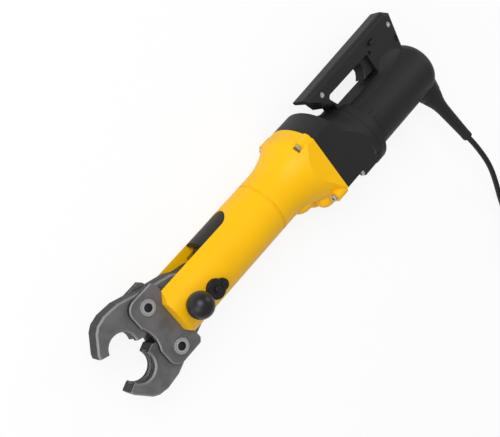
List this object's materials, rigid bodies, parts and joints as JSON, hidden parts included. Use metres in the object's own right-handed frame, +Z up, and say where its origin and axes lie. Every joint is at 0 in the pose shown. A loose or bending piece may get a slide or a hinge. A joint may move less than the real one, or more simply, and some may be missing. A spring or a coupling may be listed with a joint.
{
  "type": "electric pipe press tool",
  "caption": "Electric pipe press tool: cast head with ball-knob pin and scissor pressing jaws, geared swivel motor unit with D handle, and coiled mains lead.",
  "frame": {"origin": "centre of the patch of the gear case's flat far side that the tool lies on, at the height of the tool's own middle line", "axes": "+X along the tool from the jaws to the motor, +Y towards the D handle, +Z up through the jaw pin towards the ball knob"},
  "size_m": [0.6465, 0.519, 0.1045],
  "materials": {
    "yellow_casting": "painted satin",
    "black_housing": "fine grained",
    "gloss_black": "polished",
    "dark_trim": "matte",
    "jaw_steel": "phosphated",
    "bright_steel": "bright",
    "ground_steel": "ground",
    "bronze": "turned",
    "copper": "enamelled wire",
    "soft_rubber": "matte"
  },
  "bodies": {
    "motor_unit": {"housing_half_near": "black_housing", "housing_half_far": "black_housing", "housing_screws": "bright_steel", "stator_core": "ground_steel", "field_coils": "copper", "motor_bearings": "bright_steel", "bearing_shield": "dark_trim", "brush_holders": "bronze", "carbon_brushes": "dark_trim", "trigger_pin": "bright_steel", "switch_module": "dark_trim", "strain_relief": "soft_rubber", "power_cord": "soft_rubber", "cord_coil": "soft_rubber", "cord_tie": "dark_trim", "power_plug": "soft_rubber", "plug_pins": "bright_steel"},
    "press_head": {"head_housing": "yellow_casting", "slot_covers": "dark_trim", "flange_screws": "bright_steel", "latch_base": "black_housing", "latch_screw": "bright_steel", "jaw_plate_near": "jaw_steel", "jaw_plate_far": "jaw_steel", "jaw_bolts": "jaw_steel", "jaw_bolt_rings": "bright_steel", "jaw_spring": "ground_steel", "spring_pin": "ground_steel", "thrust_bearing": "bright_steel", "spindle_bearing": "bright_steel", "gear_case": "black_housing", "gear_plate": "ground_steel", "case_screws": "bright_steel", "pinion_bearing": "bright_steel"},
    "jaw_pin": {"retaining_pin": "ground_steel", "ball_knob": "gloss_black"},
    "latch": {"latch_button": "gloss_black"},
    "upper_jaw": {"upper_jaw": "jaw_steel"},
    "lower_jaw": {"lower_jaw": "jaw_steel"},
    "ram": {"ram_carriage": "ground_steel", "roller_pins": "bright_steel", "spindle_nut": "bronze"},
    "roller_upper": {"roller_upper": "bright_steel"},
    "roller_lower": {"roller_lower": "bright_steel"},
    "spindle": {"drive_spindle": "ground_steel", "clutch_hub": "ground_steel", "friction_rings": "dark_trim", "clutch_spring": "ground_steel", "clutch_nut": "bright_steel"},
    "final_gear": {"spindle_gear": "ground_steel"},
    "layshaft": {"layshaft": "ground_steel", "layshaft_gear": "ground_steel", "layshaft_pinion": "ground_steel"},
    "armature": {"armature_shaft": "ground_steel", "armature_core": "ground_steel", "commutator": "copper", "motor_fan": "dark_trim", "motor_pinion": "ground_steel"},
    "trigger": {"trigger": "black_housing"},
    "reverser": {"direction_switch": "dark_trim"}
  },
  "joints": [
    {"name": "head_swivel", "type": "hinge", "parent": "motor_unit", "child": "press_head", "pos_m": [0.053, -0.024, 0.0425], "axis": [1, 0, 0], "continuous": true},
    {"name": "pin_slide", "type": "slide", "parent": "press_head", "child": "jaw_pin", "axis": [0, 0, 1], "range_m": [0, 0.034]},
    {"name": "latch_press", "type": "slide", "parent": "press_head", "child": "latch", "axis": [0, 0, -1], "range_m": [0, 0.002], "stiffness_N_per_m": 600},
    {"name": "spindle_turn", "type": "hinge", "parent": "press_head", "child": "spindle", "pos_m": [-0.116, 0, 0.0425], "axis": [1, 0, 0], "range_deg": [0, 3024]},
    {"name": "ram_slide", "type": "slide", "parent": "press_head", "child": "ram", "axis": [-1, 0, 0], "range_m": [0, 0.042]},
    {"name": "upper_jaw_pivot", "type": "hinge", "parent": "press_head", "child": "upper_jaw", "pos_m": [-0.264, 0.0275, 0.0425], "axis": [0, 0, 1], "range_deg": [0, 20.5]},
    {"name": "lower_jaw_pivot", "type": "hinge", "parent": "press_head", "child": "lower_jaw", "pos_m": [-0.264, -0.0275, 0.0425], "axis": [0, 0, 1], "range_deg": [-20.5, 0]},
    {"name": "roller_upper_spin", "type": "hinge", "parent": "ram", "child": "roller_upper", "pos_m": [-0.171, 0.01215, 0.0425], "axis": [0, 0, 1], "continuous": true},
    {"name": "roller_lower_spin", "type": "hinge", "parent": "ram", "child": "roller_lower", "pos_m": [-0.171, -0.01215, 0.0425], "axis": [0, 0, 1], "continuous": true},
    {"name": "armature_spin", "type": "hinge", "parent": "press_head", "child": "armature", "pos_m": [0.114, -0.024, 0.0425], "axis": [1, 0, 0], "continuous": true},
    {"name": "layshaft_spin", "type": "hinge", "parent": "press_head", "child": "layshaft", "pos_m": [0.009, -0.0212, 0.0623], "axis": [1, 0, 0], "continuous": true},
    {"name": "spindle_gear_spin", "type": "hinge", "parent": "press_head", "child": "final_gear", "pos_m": [0.008, 0, 0.0425], "axis": [1, 0, 0], "continuous": true},
    {"name": "trigger_press", "type": "hinge", "parent": "motor_unit", "child": "trigger", "pos_m": [0.131, 0.034, 0.0425], "axis": [0, 0, 1], "range_deg": [0, 8], "stiffness_Nm_per_rad": 0.6},
    {"name": "reverser_slide", "type": "slide", "parent": "motor_unit", "child": "reverser", "axis": [0, 0, 1], "range_m": [-0.003, 0.003]}
  ],
  "couplings": [
    {"joint": "spindle_turn", "follows": "ram_slide", "rad_per_m": 1256.6},
    {"joint": "upper_jaw_pivot", "follows": "ram_slide", "rad_per_m": 8.5189},
    {"joint": "lower_jaw_pivot", "follows": "ram_slide", "rad_per_m": -8.5189},
    {"joint": "layshaft_spin", "follows": "armature_spin", "ratio": -0.33333},
    {"joint": "spindle_gear_spin", "follows": "armature_spin", "ratio": 0.078014}
  ]
}
